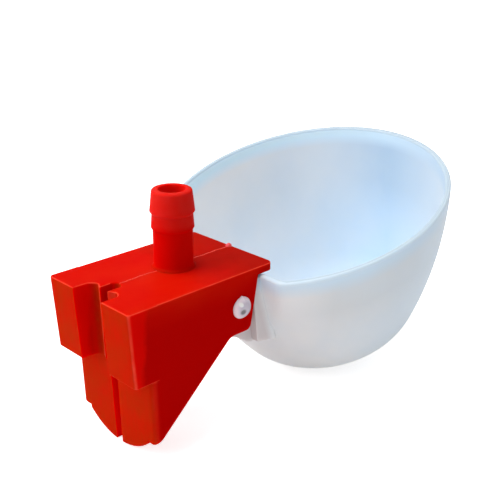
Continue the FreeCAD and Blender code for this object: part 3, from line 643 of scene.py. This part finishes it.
def milky_plastic(settings):
    """Unpigmented cloudy plastic of the bowl with a satin finish, light and shade painted into its
    colour.

    Painted light: a bluish rim and inside, a bluish band below the rim, a brighter bottom, a paler
    lower outside and outside by the neck, a warm neck from the red bracket's bounce, and paler on
    the far (-X) side. Painted shade: a greyer rim top, a grey line at the rim's inner edge, and
    greyer towards +X. Places on it are measured in the level bowl's frame: ahead of the hinge and
    above the rim.
    """
    paint = Paint(bpy.data.materials.new("milky_moulding"))
    x, y, z = (paint.axis(name) for name in "XYZ")
    cloud = paint.noise((60, 60, 45))
    ripple = paint.noise((300, 300, 60))
    grain = paint.noise((2200, 2200, 2200), detail=2.0)
    inside = paint.share(INSIDE)
    from_hinge = (y - HINGE.y, z - HINGE.z)
    ahead = from_hinge[0] * math.cos(REST_TILT) + from_hinge[1] * math.sin(REST_TILT)
    above_hinge = from_hinge[1] * math.cos(REST_TILT) - from_hinge[0] * math.sin(REST_TILT)
    above_rim = above_hinge - RIM_ABOVE_HINGE

    # Parts of the bowl, each with a soft border
    band = settings.rim_band
    # Painted light: bluish glow band below the rim
    rim = paint.spread(above_rim + cloud.waver(0.0015), -band - 0.0035, -band)
    low = paint.spread(above_rim + cloud.waver(0.01), -0.012, -0.034)
    deep = paint.spread(above_rim, -0.014, -0.034)
    under_lip = paint.spread(above_rim, -0.0045, -0.0020)
    crown = paint.spread(above_rim, -0.0007, -0.0002)
    inner_edge = crown * paint.spread(inside, 0.55, 0.85, 0.0, 0.6)
    neck = paint.spread(ahead, FLAT_WALL - 0.0014, FLAT_WALL - 0.0032)
    near_neck = paint.spread(ahead, FLAT_WALL + 0.007, FLAT_WALL, 0.0, 0.45)
    far = paint.spread(x + cloud.waver(0.02), 0.002, -0.036)
    right = paint.spread(y, 0.026, 0.054) * paint.spread(x, 0.0, 0.025)
    hazy = paint.spread(cloud, 0.42, 0.62, 0.0, 0.15)

    # Painted light: the bluish rim and its band on both walls, paler on the far side
    lip = paint.blend(far, rgba(settings.rim_colour), rgba(settings.far_rim_light_colour))
    lip = paint.blend(right, lip, rgba(settings.right_shade_colour))
    # Painted light: paler towards the bottom of the outside and by the neck
    outer = paint.blend(low, rgba(settings.outer_colour), rgba(settings.underside_light_colour))
    for share, colour in (
            # painted shade towards +X
            (right * 0.7, rgba(settings.right_shade_colour)),
            (near_neck, rgba(settings.underside_light_colour)),
            (hazy, rgba(settings.rim_colour)),
            (rim * 0.8, lip),
            # painted bounce light from the red bracket on the neck
            (neck, rgba(settings.neck_bounce_colour))):
        outer = paint.blend(share, outer, colour)
    # Painted light: bluish inside, brighter towards the bottom
    inner = paint.blend(deep, rgba(settings.inner_light_colour), rgba(settings.bottom_light_colour))
    for share, colour in (
            # painted light on the inner wall's far side and towards +X
            (right * 0.4, rgba(settings.inner_pale_light_colour)),
            (far, rgba(settings.inner_pale_light_colour)),
            (under_lip, lip)):
        inner = paint.blend(share, inner, colour)
    body = paint.blend(inside, outer, inner)
    # Painted shade on the rim's top
    body = paint.blend(crown * 0.9, body, rgba(settings.crown_shade_colour))
    # Painted shade line at the rim's inner edge
    body = paint.blend(inner_edge, body, rgba(settings.rim_edge_shade_colour))
    shader = paint.add("ShaderNodeBsdfPrincipled", {}, {
        "Base Color": body,
        "Roughness": settings.roughness + ripple.waver(0.12) + grain.waver(0.05),
        "Normal": paint.bump(grain, 0.00001, 0.5, normal=paint.bump(ripple, 0.00005, 0.4)),
        "IOR": 1.5,
        "Subsurface Weight": 1.0,
        "Subsurface Radius": (1.0, 0.95, 0.9),
        "Subsurface Scale": settings.scatter,
        "Specular IOR Level": 0.25,
    })
    return paint.finish(shader)


def pin_plastic(settings):
    """Clearer plastic of the pin, dark at the gate mark, with painted shade in the middle of its
    head, painted light at its edge and a painted highlight on it.
    """
    paint = Paint(bpy.data.materials.new("pin_plastic"))
    cloud = paint.noise((700, 700, 700))
    grain = paint.noise((3000, 3000, 3000), detail=2.0)
    across, upward = paint.axis("Y") - HINGE.y, paint.axis("Z") - HINGE.z
    ring = paint.spread(squared(across, upward) + cloud.waver(0.000002), 0.0014 ** 2, 0.0021 ** 2)
    from_glint = squared(across - GLINT_FROM_HINGE[0], upward - GLINT_FROM_HINGE[1])
    glint = paint.spread(from_glint, 0.0006 ** 2, 0.0003 ** 2)
    # Painted shade in the head's middle and painted light at its edge, then a painted highlight
    body = paint.blend(ring, rgba(settings.core_shade_colour), rgba(settings.colour))
    body = paint.blend(glint, body, rgba(WHITE))
    body = paint.blend(paint.share(GATE) * 0.9, body, rgba(settings.gate_colour))
    shader = paint.add("ShaderNodeBsdfPrincipled", {}, {
        "Base Color": body,
        "Roughness": 0.13 + cloud.waver(0.06),
        "Normal": paint.bump(grain, 0.00001, 0.3),
        "IOR": 1.49,
        "Subsurface Weight": 1.0,
        "Subsurface Radius": (1.0, 0.8, 0.75),
        "Subsurface Scale": 0.0003,
    })
    return paint.finish(shader)


def seal_rubber(settings):
    """Matt rubber with fine grain."""
    paint = Paint(bpy.data.materials.new("seal_rubber"))
    grain = paint.noise((1800, 1800, 1800))
    plain, dusty = rgba(settings.rubber_colour), rgba(settings.rubber_colour, 2.2)
    shader = paint.add("ShaderNodeBsdfPrincipled", {}, {
        "Base Color": paint.blend(paint.spread(grain, 0.45, 0.75), plain, dusty),
        "Roughness": 0.62 + grain.waver(0.2),
        "Normal": paint.bump(grain, 0.00003, 0.6),
    })
    return paint.finish(shader)


def spring_steel(settings):
    """Drawn stainless wire with fine drawing lines."""
    paint = Paint(bpy.data.materials.new("spring_steel"))
    lines = paint.noise((400, 400, 9000))
    bright, dull = rgba(settings.steel_colour), rgba(settings.steel_colour, 0.75)
    shader = paint.add("ShaderNodeBsdfPrincipled", {}, {
        "Base Color": paint.blend(paint.spread(lines, 0.4, 0.7), bright, dull),
        "Metallic": 1.0,
        "Roughness": 0.26 + lines.waver(0.2),
        "Normal": paint.bump(lines, 0.00001, 0.5),
    })
    return paint.finish(shader)


def white_floor(settings):
    """Pale floor that a camera sees as white, apart from the object's faint shadow."""
    paint = Paint(bpy.data.materials.new("white_floor"))
    paper = paint.add("ShaderNodeBsdfDiffuse", {}, {"Color": rgba(settings.floor_colour)})
    glow = paint.add("ShaderNodeEmission", {},
                     {"Color": rgba(WHITE), "Strength": settings.floor_glow})
    both = paint.add("ShaderNodeAddShader", {}, {0: paper, 1: glow})
    shader = paint.add("ShaderNodeMixShader", {}, {0: paint.seen(), 1: paper, 2: both})
    return paint.finish(shader)


def white_room(settings):
    """World that lights evenly and that a camera sees as white."""
    paint = Paint(bpy.data.worlds.new("room"))
    strength = paint.spread(paint.seen(), 0.0, 1.0, settings.world_strength, 1.0)
    shader = paint.add("ShaderNodeBackground", {}, {"Color": rgba(WHITE), "Strength": strength})
    return paint.finish(shader, "ShaderNodeOutputWorld")


# Operators

class WATERER_OT_bracket(bpy.types.Operator):
    """Bracket with roof, ears, slit column and side walls, and the barbed inlet on its roof"""

    bl_idname = "waterer.bracket"
    bl_label = "Bracket and inlet"

    def execute(self, context):
        settings = context.scene.waterer.red
        material = red_plastic(settings)
        for name, node in (("bracket_moulding", "bracket"), ("inlet_barb_moulding", "inlet_barb")):
            piece = add_piece(moulded_copy(name, node), name, "mounting", "red_moulding", node)
            mark_red_faces(piece.data, flat=node == "bracket")
            piece.data.materials.append(material)
        flash = red_flash("red_flash", settings.flash_colour, settings.swirl_colour)
        # Painted light: the fillet round the inlet's foot is bright red
        round_foot = red_flash("inlet_foot_plastic", settings.painted_light_red, settings.colour)
        broken = red_flash("gate_stub_plastic", settings.stub_colour, settings.highlight_pink)
        for mesh, finish in (
                (self.seam_mesh("rear_seam", CHANNEL_END, -NECK_RADIUS), flash),
                (self.seam_mesh("front_seam", NECK_RADIUS, ROOF_FRONT), flash),
                (self.foot_mesh(), round_foot),
                (self.stub_mesh(), broken)):
            piece = add_piece(mesh, mesh.name, "mounting", "red_moulding")
            piece.data.materials.append(finish)
        return {"FINISHED"}

    def seam_mesh(self, name, start, end):
        """Parting ridge along the roof's middle, sunk at both ends.

        Its section is a flat ellipse that lacks its lowest quarter. Its place across the roof
        wavers by two sines of the way along it and its height by one, and the height fades to 0 at
        both ends.
        """
        half_width = 0.00020
        sunk = 0.00002
        along = np.linspace(start, end, 60)
        around = np.linspace(-0.25, 1.25, 13)[:-1] * np.pi
        fade = ease(np.minimum(along - start, end - along), 0, 0.0006)
        middle = 0.00010 * np.sin(900 * along) + 0.00006 * np.sin(2300 * along + 1)
        height = (0.00010 + 0.00003 * np.sin(1500 * along)) * fade
        points = np.stack([
            middle[:, None] + half_width * np.cos(around),
            np.broadcast_to(along[:, None], (len(along), len(around))),
            height[:, None] * np.sin(around) - sunk,
        ], -1)
        points[[0, -1], :, 0] = middle[[0, -1], None]
        points[[0, -1], :, 2] = -sunk
        return tidy_mesh(grid_mesh(name, points), math.radians(60))

    def stub_mesh(self):
        """Stub of the gate by the roof's front edge, a half ball on a flat foot sunk in the roof.

        Its profile is radius * cos(t) across and radius * sin(t) upward, with t from a little
        below 0 to a quarter turn.
        """
        radius = 0.00075
        foot = -0.00024
        from_edge = 0.00078
        rise = np.linspace(-0.3, np.pi / 2, 12)
        points = revolved(np.append(0, radius * np.cos(rise)),
                          np.append(foot, radius * np.sin(rise)), 40)
        points += np.array([0, ROOF_FRONT - from_edge, 0])
        return tidy_mesh(grid_mesh("gate_stub", points), math.radians(60))

    def foot_mesh(self):
        """Small fillet round the inlet's foot.

        Its section is closed: a quarter circle, hollow side out, from the tube to the roof, and two
        straights sunk in them.
        """
        size = 0.00038
        inner = NECK_RADIUS - 0.0001
        foot = -0.00008
        sunk = 0.00002
        sweep = np.linspace(0, np.pi / 2, 9)
        radii = np.append(inner + size * (1 - np.cos(sweep)), inner)
        heights = np.append(size * (1 - np.sin(sweep)) - sunk, foot)
        points = revolved(radii, heights, 120)
        return tidy_mesh(grid_mesh("inlet_foot", points, closed_along=True), math.radians(40))


class WATERER_OT_bowl(bpy.types.Operator):
    """Drinking bowl with its neck and arm"""

    bl_idname = "waterer.bowl"
    bl_label = "Bowl"

    def execute(self, context):
        mesh = moulded_copy("drinking_bowl", "bowl")
        mark_inside(mesh)
        piece = add_piece(mesh, "drinking_bowl", "drinking_cup", "milky_moulding", "bowl")
        piece.data.materials.append(milky_plastic(context.scene.waterer.milky))
        return {"FINISHED"}


class WATERER_OT_hinge_pin(bpy.types.Operator):
    """Translucent rivet through both side walls, with a domed head on +X"""

    bl_idname = "waterer.hinge_pin"
    bl_label = "Hinge pin"

    def execute(self, context):
        settings = context.scene.waterer.pin
        mesh = self.rivet_mesh(settings)
        places, _ = corner_field(mesh)
        gate = HINGE + Vector((0, *GATE_FROM_HINGE))
        off_gate = np.hypot(places[:, 1] - gate.y, places[:, 2] - gate.z) / settings.gate_radius
        mark(mesh, GATE, (1 - ease(off_gate, 0.4, 1.1)) * (places[:, 0] > WALL_FACE))
        piece = add_piece(mesh, "hinge_pin_rivet", "mounting", "pin_plastic", "hinge_pin")
        piece.data.materials.append(pin_plastic(settings))
        return {"FINISHED"}

    def rivet_mesh(self, settings):
        """Shaft with a flat end on -X and a dome on +X, turned about the hinge.

        The dome is a spherical cap on a low cylinder. A small pit is pressed into it below its
        middle, as deep as a squared cosine of the distance from the gate's centre. The head's top
        ends in a small tip, a bell curve of the angle from +Z.
        """
        low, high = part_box("hinge_pin")
        shaft = 0.0015
        end_radius = 0.002
        collar = 0.00025
        pit_depth = 0.00018
        tip_share, tip_angle = 0.10, 0.13
        head = settings.head_radius
        rise = high.x - WALL_FACE - collar
        sphere = (head ** 2 + rise ** 2) / (2 * rise)
        spread = np.linspace(math.asin(head / sphere), 0, 28)
        radii = np.concatenate([
            [0, 0.6 * end_radius, end_radius - 0.0003, end_radius, end_radius, shaft, shaft, head],
            sphere * np.sin(spread),
        ])
        heights = np.concatenate([
            [low.x, low.x + 0.00002, low.x + 0.00012, low.x + 0.0004],
            [-WALL_FACE, -WALL_FACE, WALL_FACE, WALL_FACE],
            high.x - sphere + sphere * np.cos(spread),
        ])
        around = np.linspace(0, 2 * np.pi, 96, endpoint=False)
        tip = 1 + tip_share * np.exp(-((around - np.pi / 2) / tip_angle) ** 2)
        points = revolved(radii, heights)
        points[..., :2] *= np.where(points[..., 2:] >= WALL_FACE, tip[None, :, None], 1)
        points = np.stack([points[..., 2], points[..., 0] + HINGE.y, points[..., 1] + HINGE.z], -1)
        off_gate = np.hypot(points[..., 1] - HINGE.y - GATE_FROM_HINGE[0],
                            points[..., 2] - HINGE.z - GATE_FROM_HINGE[1])
        pit = np.cos(np.clip(off_gate / settings.gate_radius, 0, 1) * np.pi / 2) ** 2
        points[..., 0] -= pit_depth * pit * (points[..., 0] > WALL_FACE + 0.5 * collar)
        return tidy_mesh(grid_mesh("hinge_pin_rivet", points), math.radians(50))


class WATERER_OT_valve(bpy.types.Operator):
    """Rubber seal on the arm and the return spring between roof and arm"""

    bl_idname = "waterer.valve"
    bl_label = "Seal and spring"

    def execute(self, context):
        settings = context.scene.waterer.valve
        seal = add_piece(moulded_copy("valve_seal_button", "valve_seal"), "valve_seal_button",
                         "drinking_cup", "seal_rubber", "valve_seal")
        seal.data.materials.append(seal_rubber(settings))
        spring = add_piece(self.spring_mesh(settings), "return_spring_wire", None, "spring_steel",
                           "return_spring")
        spring.data.materials.append(spring_steel(settings))
        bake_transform(spring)
        return {"FINISHED"}

    def spring_mesh(self, settings):
        """Round wire along a helix.

        The centre climbs evenly as it turns. Each ring of the wire lies in the plane of the helix's
        outward direction and the normal of its tangent, and both ends shrink to a point.
        """
        low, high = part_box("return_spring")
        wire = settings.wire_radius
        turn = np.linspace(0, 2 * np.pi * settings.turns, round(56 * settings.turns))
        climb = (high.z - low.z - 2 * wire) / turn[-1]
        centre = np.stack([settings.coil_radius * np.cos(turn), settings.coil_radius * np.sin(turn),
                           low.z + wire + climb * turn], -1)
        outward = np.stack([np.cos(turn), np.sin(turn), 0 * turn], -1)
        along = np.stack([-settings.coil_radius * np.sin(turn), settings.coil_radius * np.cos(turn),
                          climb + 0 * turn], -1)
        along /= np.linalg.norm(along, axis=1)[:, None]
        upward = np.cross(along, outward)
        around = np.linspace(0, 2 * np.pi, 14, endpoint=False)
        size = np.full(len(turn), wire)
        size[[0, -1]] = 0
        size[[1, -2]] = 0.999 * wire
        centre[1] = centre[0]
        centre[-2] = centre[-1]
        ring = (outward[:, None] * np.cos(around)[None, :, None]
                + upward[:, None] * np.sin(around)[None, :, None])
        points = centre[:, None] + size[:, None, None] * ring
        return tidy_mesh(grid_mesh("return_spring_wire", points), math.radians(60))


class WATERER_OT_stage(bpy.types.Operator):
    """White floor, soft studio lamps and the camera"""

    bl_idname = "waterer.stage"
    bl_label = "Stage"

    def execute(self, context):
        scene = context.scene
        settings = scene.waterer.stage
        self.add_floor(scene, settings)
        scene.world = white_room(settings)
        self.add_lamp(scene, "key_lamp", settings.key_power, KEY_PLACE, KEY_SIZE)
        self.add_lamp(scene, "rear_lamp", settings.rear_power, REAR_PLACE, REAR_SIZE)
        self.add_camera(scene, settings)
        return {"FINISHED"}

    def add_floor(self, scene, settings):
        """Flat square at the height of the bowl's lowest point, with one point at each corner."""
        side = np.array([-FLOOR_REACH, FLOOR_REACH])
        across, along = np.meshgrid(side, side, indexing="ij")
        points = np.stack([across, along, np.full_like(across, BOWL_FLOOR)], -1)
        floor = bpy.data.objects.new("floor", grid_mesh("floor", points, closed_across=False))
        scene.collection.objects.link(floor)
        floor.data.materials.append(white_floor(settings))

    def add_lamp(self, scene, name, power, place, size):
        """Square soft lamp that faces the middle of the waterer."""
        lamp = bpy.data.lights.new(name, "AREA")
        lamp.shape = "SQUARE"
        lamp.size = size
        lamp.energy = power
        stand = bpy.data.objects.new(name, lamp)
        stand.location = place
        aim = Vector(LAMPS_AIM) - Vector(place)
        stand.rotation_euler = aim.to_track_quat("-Z", "Y").to_euler()
        scene.collection.objects.link(stand)

    def add_camera(self, scene, settings):
        """Camera at the photograph's angle, from behind and above the head's side of the pin."""
        level = math.cos(CAMERA_ELEVATION)
        back = Vector((math.sin(CAMERA_AZIMUTH) * level, -math.cos(CAMERA_AZIMUTH) * level,
                       math.sin(CAMERA_ELEVATION)))
        right = (-back).cross(Vector((0, 0, 1))).normalized()
        up = right.cross(-back)
        right, up = (math.cos(CAMERA_ROLL) * right + math.sin(CAMERA_ROLL) * up,
                     math.cos(CAMERA_ROLL) * up - math.sin(CAMERA_ROLL) * right)
        lens = bpy.data.cameras.new("camera")
        lens.sensor_fit = "HORIZONTAL"
        lens.sensor_width = SENSOR_WIDTH
        lens.lens = settings.lens
        lens.clip_start = 0.005
        camera = bpy.data.objects.new("camera", lens)
        turn = Matrix((right, up, back)).transposed().to_4x4()
        camera.matrix_world = Matrix.Translation(CAMERA_PLACE) @ turn
        scene.collection.objects.link(camera)
        bpy.context.scene.camera = camera


# Panel

PIECES = (WATERER_OT_bracket, WATERER_OT_bowl, WATERER_OT_hinge_pin, WATERER_OT_valve,
          WATERER_OT_stage)


class WATERER_PT_pieces(bpy.types.Panel):
    """Pieces of the waterer and their settings"""

    bl_idname = "WATERER_PT_pieces"
    bl_label = "Chick waterer"
    bl_space_type = "VIEW_3D"
    bl_region_type = "UI"
    bl_category = "Waterer"

    def draw(self, context):
        for piece in PIECES:
            self.layout.operator(piece.bl_idname)
        for group in WatererSettings.__annotations__:
            box = self.layout.box()
            settings = getattr(context.scene.waterer, group)
            for setting in type(settings).__annotations__:
                box.prop(settings, setting)


CLASSES = (RedMouldingSettings, MilkyMouldingSettings, PinSettings, ValveSettings, StageSettings,
           WatererSettings, *PIECES, WATERER_PT_pieces)


def register():
    for item in CLASSES:
        bpy.utils.register_class(item)
    bpy.types.Scene.waterer = PointerProperty(type=WatererSettings)


def unregister():
    del bpy.types.Scene.waterer
    for item in reversed(CLASSES):
        bpy.utils.unregister_class(item)


def main():
    register()
    bpy.context.scene.view_settings.view_transform = "Standard"
    bpy.ops.waterer.bracket()
    bpy.ops.waterer.bowl()
    bpy.ops.waterer.hinge_pin()
    bpy.ops.waterer.valve()
    bpy.ops.waterer.stage()


if __name__ == "__main__":
    main()
